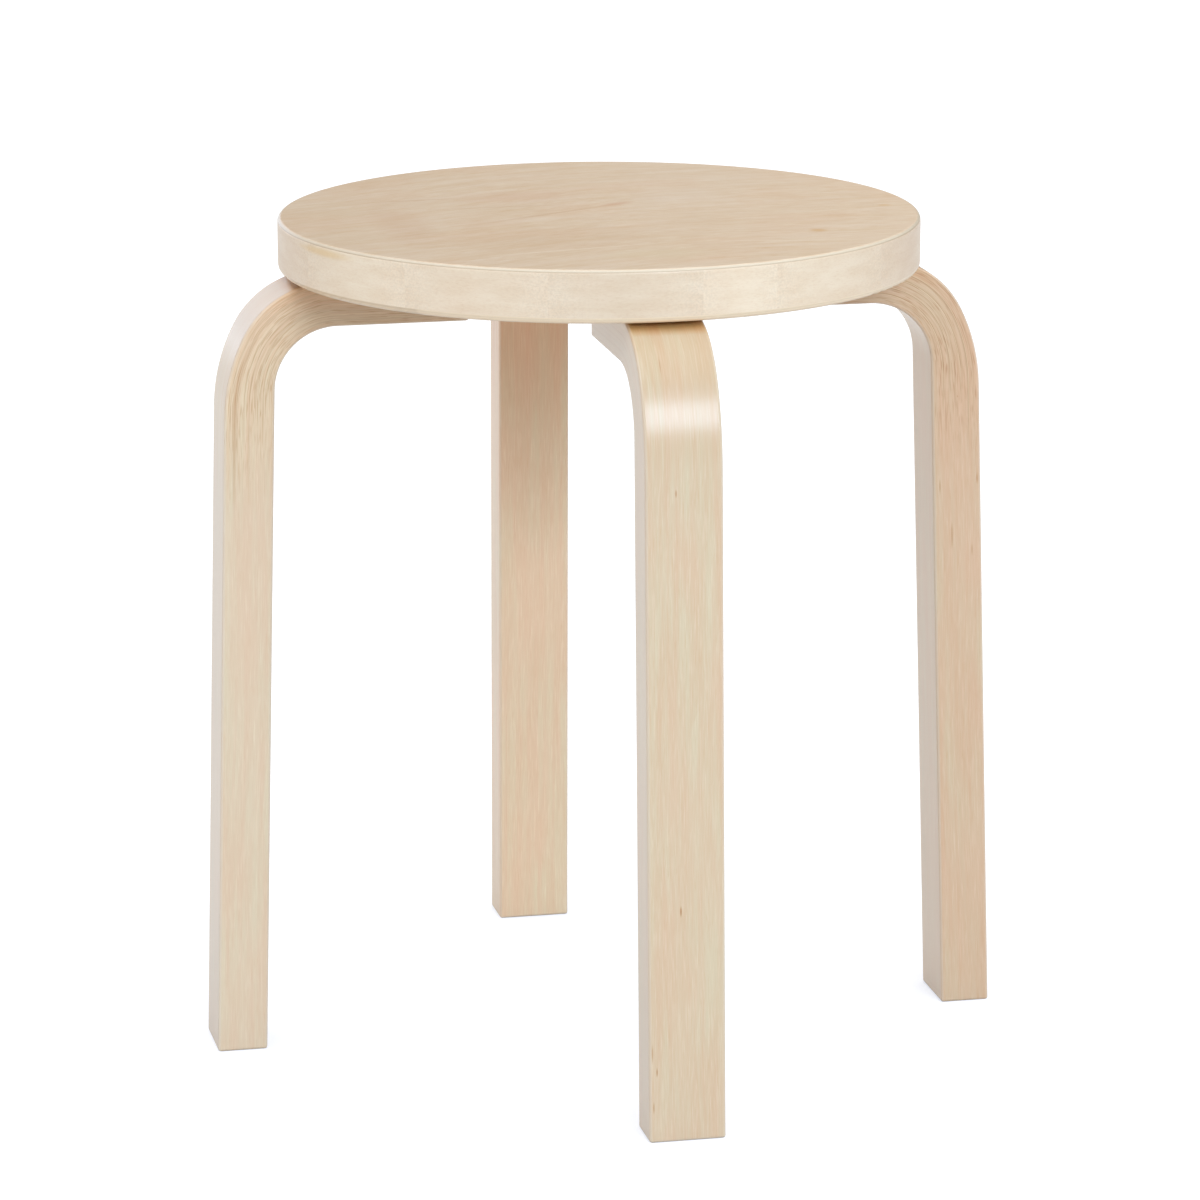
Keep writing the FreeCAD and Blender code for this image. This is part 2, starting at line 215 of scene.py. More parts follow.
def new_material(name):
    """A new material, its node tree and its shader."""
    material = bpy.data.materials.new(name)
    material.use_nodes = True
    return material, material.node_tree, material.node_tree.nodes["Principled BSDF"]


def set_inputs(tree, node, inputs):
    """Link or set a node's inputs."""
    for name, source in inputs.items():
        if isinstance(source, bpy.types.NodeSocket):
            tree.links.new(source, node.inputs[name])
        else:
            node.inputs[name].default_value = source


def add_node(tree, kind, inputs, **settings):
    """Add a shader node with its settings and links, and give back its outputs."""
    node = tree.nodes.new(f"ShaderNode{kind}")
    for name, setting in settings.items():
        setattr(node, name, setting)
    set_inputs(tree, node, inputs)
    return node.outputs


# One layer of a wood's figure: noise drawn out along the grain, its features so many millimetres long and
# wide, brings in a colour where it goes from one value to another. It may be kept to where an attribute is
# high.
Layer = namedtuple("Layer", "long wide detail low high strength colour where", defaults=(None,))

# what sets one cut of birch apart from another: lengths in millimetres, angles in degrees
Birch = namedtuple("Birch", (
    "ground",  # the wood's own colour, under its figure, as WoodColours names it
    "figure",  # its layers, of which "fibres" is also felt in the surface
    "ring_spacing", "ring_strength",  # of its growth rings
    "pith", "tilt",  # where the middle of the growth rings lies, and its angle to the grain
    "wander",  # how far the grain wanders to the sides
    "coordinates",  # the piece's attribute that places the figure, or None for Object coordinates
    "coat",  # how much of the lacquer's gloss shows
))

# nearly all the values of a noise lie between these
NOISE_SPREAD = {"From Min": 0.3, "From Max": 0.7}

# the grain's swings to the sides are 200 mm long and 70 mm wide
WANDER_SCALE = (5.0, 14.0, 14.0)

# how unevenly the growth rings run, where in the pink patches' noise they show more and more, the share of
# their strength that they keep where they show least, and where in each ring its late wood begins and ends
RING_WAVER = {"Distortion": 1.2, "Detail": 2.0, "Detail Scale": 0.25, "Detail Roughness": 0.6}
RING_PATCHES = {"From Min": 0.65, "From Max": 0.35}
RING_LEAST = 0.2
LATE_WOOD = {"From Min": 0.3, "From Max": 1.0}

# a thin satin lacquer, through which the fibres are just felt
SATIN = {"To Min": 0.40, "To Max": 0.50}
FIBRE_RELIEF = {"Strength": 0.25, "Distance": 0.05 * MM}
LACQUER = {"IOR": 1.5, "Coat Roughness": 0.22, "Coat IOR": 1.5}


def birch_material(name, look, arrange=None, finish=None):
    """Clear-lacquered birch: pale fine-grained wood under a thin satin coat.

    The eye sees soft warm streaks, faint growth lines, short fine pores and a few brown flecks. The coat
    gives a soft white sheen where the light grazes it. The wood's x runs along the grain.
    """
    material, tree, shader = new_material(name)
    colours = bpy.context.scene.stool_colours
    if look.coordinates:
        place = add_node(tree, "Attribute", {}, attribute_name=look.coordinates)["Vector"]
    else:
        place = add_node(tree, "TexCoord", {})["Object"]
    straight = arrange(tree, place) if arrange else place

    # the grain's slow wander to the sides
    slow = add_node(tree, "Mapping", {"Vector": straight, "Scale": WANDER_SCALE})[0]
    sway = add_node(tree, "TexNoise", {"Vector": slow, "Scale": 1.0, "Detail": 1.5})["Color"]
    centred = add_node(tree, "VectorMath", {0: sway, 1: (0.5, 0.5, 0.5)}, operation="SUBTRACT")[0]
    wander = (0.0, look.wander * MM, look.wander * MM)
    grain = add_node(tree, "VectorMath", {0: centred, 1: wander, 2: straight},
                     operation="MULTIPLY_ADD")[0]

    base, noises = getattr(colours, look.ground), {}
    for label, layer in look.figure.items():
        scale = [1 / (size * MM) for size in (layer.long, layer.wide, layer.wide)]
        drawn = add_node(tree, "Mapping", {"Vector": grain, "Scale": scale})[0]
        noise = add_node(tree, "TexNoise", {"Vector": drawn, "Scale": 1.0, "Detail": layer.detail})[0]
        share = add_node(tree, "MapRange", {
            "Value": noise, "From Min": layer.low, "From Max": layer.high, "To Max": layer.strength})[0]
        if layer.where:
            kept = add_node(tree, "Attribute", {}, attribute_name=layer.where)["Fac"]
            share = add_node(tree, "Math", {0: share, 1: kept}, operation="MULTIPLY")[0]
        base = add_node(tree, "Mix", {0: share, 6: base, 7: getattr(colours, layer.colour)},
                        data_type="RGBA")[2]
        noises[label] = noise

    # growth rings round a pith that lies off to one side, at a small angle to the grain
    ringed = add_node(tree, "Mapping", {
        "Vector": grain, "Location": (0.0, look.pith[0] * MM, look.pith[1] * MM),
        "Rotation": (0.0, math.radians(look.tilt[0]), math.radians(look.tilt[1]))})[0]
    # a wave's rings are 2 pi / 20 of a unit apart
    rings = add_node(tree, "TexWave", {
        "Vector": ringed, "Scale": math.pi / 10 / (look.ring_spacing * MM), **RING_WAVER,
    }, wave_type="RINGS", rings_direction="X", wave_profile="SAW")["Fac"]
    shown = add_node(tree, "MapRange", {
        "Value": noises["patches"], **RING_PATCHES, "To Min": RING_LEAST * look.ring_strength,
        "To Max": look.ring_strength})[0]
    late = add_node(tree, "MapRange", {"Value": rings, **LATE_WOOD, "To Max": shown})[0]
    base = add_node(tree, "Mix", {0: late, 6: base, 7: colours.growth_line}, data_type="RGBA")[2]
    if finish:
        base = finish(tree, base, place)
    fibres = noises["fibres"]
    roughness = add_node(tree, "MapRange", {"Value": fibres, **NOISE_SPREAD, **SATIN})[0]
    bump = add_node(tree, "Bump", {"Height": fibres, **FIBRE_RELIEF})[0]
    set_inputs(tree, shader, {
        "Base Color": base, "Roughness": roughness, "Normal": bump, "Coat Weight": look.coat, **LACQUER})
    return material


def toned(tree, base):
    """Each board's own tone, with the painted sheen, highlight and shade that its tone attribute also
    carries: x makes it lighter or darker, y pinker, z greyer.
    """
    tone = add_node(tree, "Attribute", {}, attribute_name="tone")["Vector"]
    parts = add_node(tree, "SeparateXYZ", {0: tone})
    share = add_node(tree, "Math", {0: parts["X"], 1: 1.0}, operation="ADD")[0]
    base = add_node(tree, "VectorMath", {0: base, "Scale": share}, operation="SCALE")[0]
    # painted shade: the outside of the arm and the bend is a little darker, and the corners under the seat
    # are painted in a warm orange shade
    painted_bend_shade, painted_seat_shade = (add_node(tree, "Attribute", {}, attribute_name=name)["Fac"]
                         for name in ("painted_bend_shade", "painted_seat_shade"))
    for share, shade, blend in ((parts["Y"], "#FFE0D0", "MULTIPLY"), (parts["Z"], "#D8CCBC", "MIX"),
                                (painted_bend_shade, "#F2F0EC", "MULTIPLY"), (painted_seat_shade, "#FFDDAA", "MULTIPLY")):
        base = add_node(tree, "Mix", {0: share, 6: base, 7: linear(shade)},
                        data_type="RGBA", blend_type=blend)[2]
    return base


# a mark is full up to the first of these shares of its half sizes, and has gone at the second
MARK_FADE = {"From Min": 0.2, "From Max": 1.1}


def marked(tree, base, place, marks_and_shade):
    """Flecks, streaks and patches, some of them painted shade: each one's middle, half sizes, turn on the
    surface, strength and colour.
    """
    for middle, sizes, turn, strength, shade in marks_and_shade:
        local = add_node(tree, "Mapping", {
            "Vector": place, "Location": middle, "Rotation": (0.0, 0.0, math.radians(turn)), "Scale": sizes,
        }, vector_type="TEXTURE")[0]
        away = add_node(tree, "VectorMath", {0: local}, operation="LENGTH")["Value"]
        share = add_node(tree, "MapRange", {
            "Value": away, **MARK_FADE, "To Min": strength, "To Max": 0.0,
        }, interpolation_type="SMOOTHSTEP")[0]
        base = add_node(tree, "Mix", {0: share, 6: base, 7: linear(shade)}, data_type="RGBA")[2]
    return base


# The glue film and the pale fibres beside it are a quarter of a millimetre thick, with a brown line on their
# inner side, and both are drawn twice as thick to show. From the middle of the veneer to its face, each
# begins at one share of the way and is full at another.
GLUE_LINES = ((0.05, 0.25, "#9A6C40"), (0.35, 0.8, "#EAD5B0"))


def glued(tree, base, place):
    """A kerf veneer's own tone, and the glue lines along its two faces."""
    base = toned(tree, base)
    glue = add_node(tree, "Attribute", {}, attribute_name="glue")["Vector"]
    parts = add_node(tree, "SeparateXYZ", {0: glue})
    for side, strength in ((-1, parts["Y"]), (1, parts["Z"])):
        for near, far, shade in GLUE_LINES:
            line = add_node(tree, "MapRange", {
                "Value": parts["X"], "From Min": side * near, "From Max": side * far, "To Max": strength})[0]
            base = add_node(tree, "Mix", {0: line, 6: base, 7: linear(shade)}, data_type="RGBA")[2]
    return base


# Solid birch with straight grain. Where it is bent, its fibres open into fine dark lines. The finest lines
# are a fifth of a millimetre wide, and are drawn three times as wide to show.
LEG_BIRCH = Birch("leg_pale", {
    "streaks": Layer(80, 3.5, 2.5, 0.35, 0.65, 1.0, "leg_warm"),
    "patches": Layer(80, 20, 1.0, 0.40, 0.70, 0.6, "pink"),
    "fibres": Layer(14, 0.55, 2.0, 0.50, 0.75, 0.30, "light_fibre"),
    "dark fibres": Layer(16, 0.6, 2.0, 0.50, 0.25, 0.16, "growth_line"),
    "pores": Layer(9, 0.45, 1.0, 0.58, 0.75, 0.25, "growth_line"),
    "strain lines": Layer(40, 0.8, 0.5, 0.54, 0.68, 0.26, "pore", "strain"),
    "strain dashes": Layer(9, 0.55, 0.5, 0.56, 0.68, 0.55, "pore", "strain"),
}, ring_spacing=3.2, ring_strength=0.08, pith=(70.0, 40.0), tilt=(0.7, 0.5), wander=6.0, coordinates="grain",
    coat=1.0)

# solid birch blocks with short fine figure
BLOCK_BIRCH = Birch("band_pale", {
    "streaks": Layer(24, 6.0, 2.0, 0.35, 0.65, 0.7, "band_warm"),
    "patches": Layer(22, 14, 1.0, 0.40, 0.70, 0.1, "pink"),
    "fibres": Layer(3, 0.8, 2.0, 0.45, 0.75, 0.3, "light_fibre"),
    "pores": Layer(2.4, 0.7, 1.0, 0.50, 0.75, 0.16, "growth_line"),
}, ring_spacing=3.0, ring_strength=0.06, pith=(40.0, 55.0), tilt=(1.0, 1.5), wander=5.0, coordinates="grain",
    coat=0.5)

# peeled birch veneer, whose figure is broad and flowing
SHEET_BIRCH = Birch("top_pale", {
    "streaks": Layer(60, 7.0, 2.5, 0.35, 0.65, 1.0, "top_warm"),
    "patches": Layer(60, 42, 1.0, 0.45, 0.65, 0.3, "pink"),
    "fibres": Layer(14, 1.0, 3.0, 0.50, 0.75, 0.55, "light_fibre"),
    "dark fibres": Layer(18, 1.1, 3.0, 0.50, 0.25, 0.35, "growth_line"),
    "pores": Layer(8, 0.8, 1.0, 0.56, 0.75, 0.35, "growth_line"),
}, ring_spacing=9.0, ring_strength=0.08, pith=(150.0, 25.0), tilt=(1.5, 4.0), wander=20.0, coordinates=None,
    coat=0.8)

# what the seat's top shows besides its even figure: place, half length and half width in millimetres,
# turn in degrees, how plainly it shows and its colour
TOP_MARKS = (
    (15, 25, 13, 5, 29, 0.4, "#C08D6E"), (101.5, -78.5, 6, 6, 0, 0.45, "#C6954E"),
    (155, -11, 5, 4, 0, 0.35, "#C6954E"), (-37, -107, 66, 1.3, 11, 0.4, "#F0E4D0"),
    (75, -104, 52, 1.3, -10, 0.35, "#F0E4D0"), (-110, -15, 20, 85, 0, 0.2, "#BD9373"),
    (-30, 0, 64, 2.5, 28.6, 0.25, "#AE8660"), (-88, 60, 34, 1.8, 3, 0.3, "#AE8660"),
    (-48, 29, 42, 1.6, 0, 0.25, "#AE8660"), (55, 40, 40, 32, 0, 0.16, "#DDD0C2"),
    (-35, 60, 45, 22, 0, 0.2, "#C9A38C"), (5, -128, 40, 20, 0, 0.25, "#CFC4A2"),
    (80, 100, 75, 60, 0, 0.15, "#D9CCBB"), (-45, -75, 70, 45, 8, 0.22, "#BD9A74"),
)

# the top's grain rises so far towards +Y between two places along X
TOP_BOW = {"From Min": -0.20, "From Max": 0.06, "To Max": 0.07}

# painted light: how light the top is 170 mm to the left and to the right of its middle, darker to the left
# and lighter to the right
TOP_SHADING = {"From Min": -0.17, "From Max": 0.17, "To Min": 0.93, "To Max": 1.07}


def flowing(tree, place):
    """The face veneer's grain, which runs along the seat's X and rises in a soft bow across its middle."""
    parts = add_node(tree, "SeparateXYZ", {0: place})
    rise = add_node(tree, "MapRange", {"Value": parts["X"], **TOP_BOW},
                    interpolation_type="SMOOTHSTEP")[0]
    level = add_node(tree, "Math", {0: parts["Y"], 1: rise}, operation="SUBTRACT")[0]
    return add_node(tree, "CombineXYZ", {0: parts["X"], 1: level, 2: parts["Z"]})[0]


# the lines in the rim: from one height to another in metres, their colour and how plainly they show, and how
# soft their edges are
RIM_LINES = (
    (0.4484, 0.4499, "#CEC2AD", 0.85), (0.4478, 0.4491, "#A68E72", 0.45),
    (0.4222, 0.4254, "#F4DFC2", 0.95), (0.4239, 0.4252, "#B59E80", 0.3),
)
RIM_SOFTNESS = 0.3 * MM

# how far down the top's marks reach
MARK_DEPTH = 5 * MM


def rim_lined(tree, base, place):
    """The top's painted light and marks, and the sheets' pale edges in the rim with the thin dark inner ply.
    """
    height = bpy.context.scene.stool_seat.height
    parts = add_node(tree, "SeparateXYZ", {0: place})
    painted_light_across = add_node(tree, "MapRange", {"Value": parts["X"], **TOP_SHADING})[0]
    base = add_node(tree, "VectorMath", {0: base, "Scale": painted_light_across}, operation="SCALE")[0]
    base = marked(tree, base, place, [
        ((x * MM, y * MM, height), (long * MM, wide * MM, MARK_DEPTH), turn, strength, shade)
        for x, y, long, wide, turn, strength, shade in TOP_MARKS])
    for low, high, shade, strength in RIM_LINES:
        for start, end in ((low, low + RIM_SOFTNESS), (high, high - RIM_SOFTNESS)):
            strength = add_node(tree, "MapRange", {
                "Value": parts["Z"], "From Min": start, "From Max": end, "To Max": strength})[0]
        base = add_node(tree, "Mix", {0: strength, 6: base, 7: linear(shade)}, data_type="RGBA")[2]
    return base


# The seat

def seat_section(seat, inside, low, high):
    """The upright section of the seat, as one face, between a radius and its rim and between two levels."""
    bm = bmesh.new()
    bottom = seat.height - seat.thickness
    corners = ((inside, bottom), (seat.radius, bottom), (seat.radius, seat.height), (inside, seat.height))
    verts = [bm.verts.new((across, 0.0, up)) for across, up in corners]
    bm.faces.new(verts)
    for vert, rounding in ((verts[1], seat.bottom_rounding), (verts[2], seat.top_rounding)):
        bmesh.ops.bevel(bm, geom=[vert], offset=rounding, offset_type="OFFSET", segments=RIM_STEPS,
                        profile=0.5, affect="VERTICES", material=-1)
    for level, outwards in ((low, -1), (high, 1)):
        bmesh.ops.bisect_plane(bm, geom=bm.verts[:] + bm.edges[:] + bm.faces[:], dist=TINY,
                               plane_co=(0, 0, level), plane_no=(0, 0, outwards), clear_outer=True)
    return bm


def spun(bm, start, width):
    """Sweep a section round the stool's upright axis."""
    whole = abs(width - math.tau) < TINY
    bmesh.ops.rotate(bm, verts=bm.verts, cent=(0, 0, 0), matrix=Matrix.Rotation(start, 3, "Z"))
    bmesh.ops.spin(bm, geom=bm.verts[:] + bm.edges[:] + bm.faces[:], cent=(0, 0, 0), axis=(0, 0, 1),
                   dvec=(0, 0, 0), angle=width, steps=round(SEAT_STEPS * width / math.tau), use_merge=whole)
    return bm


class STOOL_OT_add_seat_veneers(bpy.types.Operator):
    """Finish the two sheets of veneer over and under the seat"""
    bl_idname = "stool.add_seat_veneers"
    bl_label = "Seat Veneers"

    def execute(self, context):
        seat = context.scene.stool_seat
        material = birch_material("Lacquered birch face veneer", SHEET_BIRCH, flowing, rim_lined)
        bm = seat_section(seat, 0.0, seat.height - seat.top_veneer, seat.height)
        # a full spin would leave the section itself inside, and its edge on the axis
        bmesh.ops.delete(bm, geom=bm.faces[:], context="FACES_ONLY")
        bmesh.ops.delete(bm, geom=[edge for edge in bm.edges if lies_at(edge, 0, 0.0)], context="EDGES")
        spun(bm, 0.0, math.tau)
        bmesh.ops.remove_doubles(bm, verts=bm.verts, dist=TINY)
        new_piece(bm, "lacquered_top_veneer", "seat_top_veneer", material)
        finish_node("seat_bottom_veneer", material)
        return {"FINISHED"}


class STOOL_OT_add_seat_core(bpy.types.Operator):
    """Finish the core board, which the band and the veneers hide"""
    bl_idname = "stool.add_seat_core"
    bl_label = "Seat Core"

    def execute(self, context):
        look = SHEET_BIRCH._replace(ground="growth_line")
        finish_node("seat_core", birch_material("Raw birch core board", look))
        return {"FINISHED"}


# how much lighter or darker each block is, and how much pinker
BLOCK_TONES = (
    (0.04, 0.16), (0.0, 0.18), (-0.10, 0.38), (0.04, 0.2), (0.0, 0.1), (0.05, 0.16), (-0.03, 0.2),
    (0.02, 0.12), (0.06, 0.16), (-0.01, 0.25), (0.03, 0.16), (0.11, 0.06), (0.01, 0.16), (-0.08, 0.2),
)

# at a joint, how far a block's tone comes towards its neighbour's, and how much greyer painted sheen makes it
JOINT_BLEND, JOINT_SHEEN_GREY = 0.36, 0.055

# the fine stipple near the joints: the size of its grains, and how much it darkens and lightens them
STIPPLE_SIZE = 1.1 * MM
STIPPLE_SPREAD = {"From Min": 0.4, "From Max": 0.6, "To Min": -0.8, "To Max": 0.8}

# a yellow streak under the top's edge: its middle, half sizes, turn, strength and colour
BAND_STREAK = ((-0.1605, -0.0619, 0.4458), (0.034, 0.008, 0.0027), -68.9, 0.42, "#DDB45E")


def block_tone(number):
    """The tone of a block's middle, the blocks being counted round the ring."""
    return Vector((*BLOCK_TONES[number % len(BLOCK_TONES)], 0))


def stippled(tree, base, place):
    """A block's own tone, and the fine stipple where its rim cuts across the grain near its ends."""
    base = toned(tree, base)
    tone = add_node(tree, "Attribute", {}, attribute_name="tone")["Vector"]
    greyer = add_node(tree, "SeparateXYZ", {0: tone})["Z"]
    grit = add_node(tree, "TexNoise", {"Vector": place, "Scale": 1 / STIPPLE_SIZE, "Detail": 1.0})["Fac"]
    centred = add_node(tree, "MapRange", {"Value": grit, **STIPPLE_SPREAD})[0]
    share = add_node(tree, "Math", {0: centred, 1: greyer, 2: 1.0}, operation="MULTIPLY_ADD")[0]
    base = add_node(tree, "VectorMath", {0: base, "Scale": share}, operation="SCALE")[0]
    around = add_node(tree, "TexCoord", {})["Object"]
    return marked(tree, base, around, [BAND_STREAK])


class STOOL_OT_add_edge_band(bpy.types.Operator):
    """Build the ring of birch blocks round the seat"""
    bl_idname = "stool.add_edge_band"
    bl_label = "Edge Band"

    def execute(self, context):
        seat = context.scene.stool_seat
        material = birch_material("Lacquered birch band", BLOCK_BIRCH, finish=stippled)
        low = seat.height - seat.thickness + seat.bottom_veneer
        high = seat.height - seat.top_veneer
        start, width = seat.closing_start, seat.closing_angle
        for number in range(seat.full_blocks + 1):
            if number:
                start, width = start + width, (math.tau - seat.closing_angle) / seat.full_blocks
            bm = spun(seat_section(seat, seat.radius - seat.band_width, low, high), start, width)
            grain = bm.verts.layers.float_vector.new("grain")
            tone = bm.verts.layers.float_vector.new("tone")
            middle = start + width / 2
            straight = Matrix.Rotation(-middle - math.pi / 2, 3, "Z")
            for vert in bm.verts:
                local = straight @ vert.co
                # x runs along the block's straight grain, y up, z outwards
                vert[grain] = Vector((local.x + BOARD_STEP * number, local.z, -local.y))
                # painted sheen: a block is brightest in its middle, where its rim runs along the grain, and
                # greyer towards its ends
                off_middle = local.x / (seat.radius * math.sin(width / 2))
                beside = block_tone(number + 1 if off_middle > 0 else number - 1)
                vert[tone] = block_tone(number).lerp(beside, JOINT_BLEND * abs(off_middle))
                vert[tone] += Vector((0, 0, JOINT_SHEEN_GREY * off_middle ** 2))
            name = f"edge_block_{number + 1:02d}"
            new_piece(bm, f"lacquered_{name}", name, material)
        return {"FINISHED"}


# The legs

# a screw's pit is cut out of the faces of the underside that lie within this many times its reach
PIT_SURROUND = 8

BendLine = namedtuple("BendLine", "level reach arm_x arm_z arm_radius leg_x leg_z leg_radius joint_z")


def bend_line(legs, share, shift=0.0):
    """One line of a leg: a straight arm, two arcs and the straight leg.

    Share is the line's depth from 0 on the outside to 1 on the inside, and shift moves it further in.
    """
    arm_radius = legs.outer_arm_radius + (legs.inner_arm_radius - legs.outer_arm_radius) * share - shift
    leg_radius = legs.outer_leg_radius + (legs.inner_leg_radius - legs.outer_leg_radius) * share - shift
    level = legs.arm_level - legs.arm_thickness * share - shift
    reach = legs.foot_reach - (legs.thickness * share + shift) / math.cos(legs.splay)
    arm_z = level - arm_radius
    leg_z = arm_z - (leg_radius - arm_radius) * math.sin(legs.bend_split)
    joint_z = leg_z + leg_radius * math.sin(legs.splay)
    leg_x = reach - joint_z * math.tan(legs.splay) - leg_radius * math.cos(legs.splay)
    arm_x = leg_x + (leg_radius - arm_radius) * math.cos(legs.bend_split)
    return BendLine(level, reach, arm_x, arm_z, arm_radius, leg_x, leg_z, leg_radius, joint_z)


def kerf_share(legs, number):
    """A kerf's depth in the leg."""
    return number / (legs.kerf_count + 1)


class Blank:
    """A leg before it is bent: x along it from the arm's end, y its depth from the outside, z across it."""

    def __init__(self, legs):
        self.legs = legs
        middle = bend_line(legs, 0.5)
        steps = (
            middle.arm_x - legs.arm_end,
            middle.arm_radius * (math.pi / 2 - legs.bend_split),
            middle.leg_radius * (legs.bend_split - legs.splay),
            (middle.joint_z - LEVEL_ROWS) / math.cos(legs.splay),
            LEVEL_ROWS / math.cos(legs.splay),
        )
        # where the arm, the two arcs, the run of the kerfs and the plain leg end
        self.ends = np.cumsum(steps)
        knots = [(0.0, 0.0)]
        for number in range(1, legs.kerf_count + 1):
            knots += [(kerf_share(legs, number), side * legs.kerf_width / 2) for side in (-1, 1)]
        knots.append((1.0, 0.0))
        # the depth of each face of a kerf, with the share and the shift that give its bend line
        self.shares, self.shifts = (list(column) for column in zip(*knots))
        self.depths = [legs.thickness * share + shift for share, shift in knots]

    def along_at(self, up):
        """How far along the blank the straight leg reaches a height."""
        return self.ends[-1] - up / math.cos(self.legs.splay)

    def kerf_station(self, number):
        """How far along the blank a kerf ends."""
        legs = self.legs
        line = bend_line(legs, kerf_share(legs, number))
        past_bend = legs.kerf_run + legs.kerf_stagger * (number * KERF_STEP % legs.kerf_count)
        return self.ends[2] + past_bend / (line.joint_z - LEVEL_ROWS) * (self.ends[3] - self.ends[2])

    def stations(self):
        """How far along the blank its rows of edges lie."""
        arm, arm_arc, leg_arc, kerfs, foot = self.ends
        rows = [0.0]
        for end, count in ((arm, ARM_ROWS), (arm_arc, ARM_ARC_ROWS), (leg_arc, LEG_ARC_ROWS)):
            rows += list(np.linspace(rows[-1], end, count + 1)[1:])
        rows += sorted(self.kerf_station(number) for number in range(1, self.legs.kerf_count + 1))
        return rows + list(np.linspace(kerfs, foot, LEG_ROWS))

    def bent(self, place):
        """Where a point of the blank lies on the bent leg, the leg standing along +X."""
        along, depth, across = place
        legs, ends = self.legs, self.ends
        line = bend_line(legs, np.interp(depth, self.depths, self.shares),
                         np.interp(depth, self.depths, self.shifts))
        if along <= ends[0]:
            x = legs.arm_end + (line.arm_x - legs.arm_end) * along / ends[0]
            return Vector((x, across, line.level))
        if along <= ends[2]:
            turn = np.interp(along, ends[:3], (math.pi / 2, legs.bend_split, legs.splay))
            x, z, radius = ((line.arm_x, line.arm_z, line.arm_radius) if along <= ends[1]
                            else (line.leg_x, line.leg_z, line.leg_radius))
            return Vector((x + radius * math.cos(turn), across, z + radius * math.sin(turn)))
        up = np.interp(along, ends[2:], (line.joint_z, LEVEL_ROWS, 0.0))
        return Vector((line.reach - up * math.tan(legs.splay), across, up))


def sawn_board(depths, stations, width, keep):
    """A straight board divided at the given depths and stations, without the cells that keep rejects."""
    bm = bmesh.new()
    columns, rows = len(stations) - 1, len(depths) - 1
    bmesh.ops.create_grid(bm, x_segments=columns, y_segments=rows, size=0.5)
    for vert in bm.verts:
        column, row = round((vert.co.x + 0.5) * columns), round((vert.co.y + 0.5) * rows)
        vert.co = (stations[column], depths[row], -width / 2)
    waste = [face for face in bm.faces if not keep(face.calc_center_median())]
    bmesh.ops.delete(bm, geom=waste, context="FACES")
    sheet = bmesh.ops.extrude_face_region(bm, geom=bm.faces[:])["geom"]
    bmesh.ops.translate(bm, verts=[item for item in sheet if isinstance(item, bmesh.types.BMVert)],
                        vec=(0, 0, width))
    bmesh.ops.recalc_face_normals(bm, faces=bm.faces)
    return bm


def round_edges(bm, legs, foot):
    """Round the edges along the board's outsides and round its two ends."""
    outsides = ((0.0, foot), (0.0, legs.thickness), (-legs.width / 2, legs.width / 2))
    edges = [edge for edge in bm.edges
             if sum(any(lies_at(edge, axis, place) for place in outsides[axis]) for axis in range(3)) == 2]
    bmesh.ops.bevel(bm, geom=edges, offset=legs.rounding, offset_type="OFFSET", segments=EDGE_STEPS,
                    profile=0.5, affect="EDGES", material=-1)


def sink_pit(bm, blank, out, across):
    """Sink the countersink of one screw in the arm's underside, so far out from the stool's middle."""
    legs = blank.legs
    line, layer = bend_line(legs, 1.0), bend_line(legs, blank.shares[-2], blank.shifts[-2])
    # the blank's underside is longer than the bent arm's, and its last layer thicker
    longer = blank.ends[0] / (line.arm_x - legs.arm_end)
    thicker = (blank.depths[-1] - blank.depths[-2]) / (layer.level - line.level)
    centre = Vector(((out - legs.arm_end) * longer, legs.thickness, across))
    reach = legs.pit_radius + legs.rounding
    for axis in (0, 2):
        for side in (-1, 1):
            normal = Vector((0, 0, 0))
            normal[axis] = side
            near = [face for face in bm.faces if lies_at(face, 1, legs.thickness)
                    and min(abs(vert.co.x - centre.x) for vert in face.verts) < PIT_SURROUND * reach]
            geom = near + [part for face in near for part in (*face.edges, *face.verts)]
            bmesh.ops.bisect_plane(bm, geom=list(dict.fromkeys(geom)), dist=TINY,
                                   plane_co=centre + normal * reach, plane_no=normal)
    cell = [face for face in bm.faces if lies_at(face, 1, legs.thickness)
            and (face.calc_center_median() - centre).length < reach]
    rim = [edge for face in cell for edge in face.edges
           if sum(beside in cell for beside in edge.link_faces) == 1]
    bmesh.ops.delete(bm, geom=cell, context="FACES")
    lay = (Matrix.Translation(centre) @ Matrix.Diagonal((longer, 1, 1, 1))
           @ Matrix.Rotation(math.pi / 2, 4, "X"))
    circle = bmesh.ops.create_circle(bm, radius=legs.pit_radius, segments=PIT_STEPS, matrix=lay)
    loop = list(dict.fromkeys(edge for vert in circle["verts"] for edge in vert.link_edges))
    bmesh.ops.triangle_fill(bm, use_beauty=True, edges=rim + loop, normal=(0, 1, 0))
    wall = bmesh.ops.extrude_edge_only(bm, edges=loop)["geom"]
    floor = [item for item in wall if isinstance(item, bmesh.types.BMVert)]
    narrower = (legs.pit_radius - legs.pit_depth) / legs.pit_radius
    bmesh.ops.scale(bm, verts=floor, vec=(narrower, 1, narrower), space=Matrix.Translation(-centre))
    bmesh.ops.translate(bm, verts=floor, vec=(0, -legs.pit_depth * thicker, 0))
    bmesh.ops.contextual_create(bm, geom=[item for item in wall if isinstance(item, bmesh.types.BMEdge)
                                          and all(vert in floor for vert in item.verts)])


# painted warm shade under the seat: how far below the arm's top it begins to fade and has gone, and how
# plainly it shows, on the outside of a leg and on the sides of an arm
SEAT_SHADE_OUTSIDE = ((3 * MM, 6 * MM), 1.0)
SEAT_SHADE_SIDES = ((0.0, 16 * MM), 0.5)


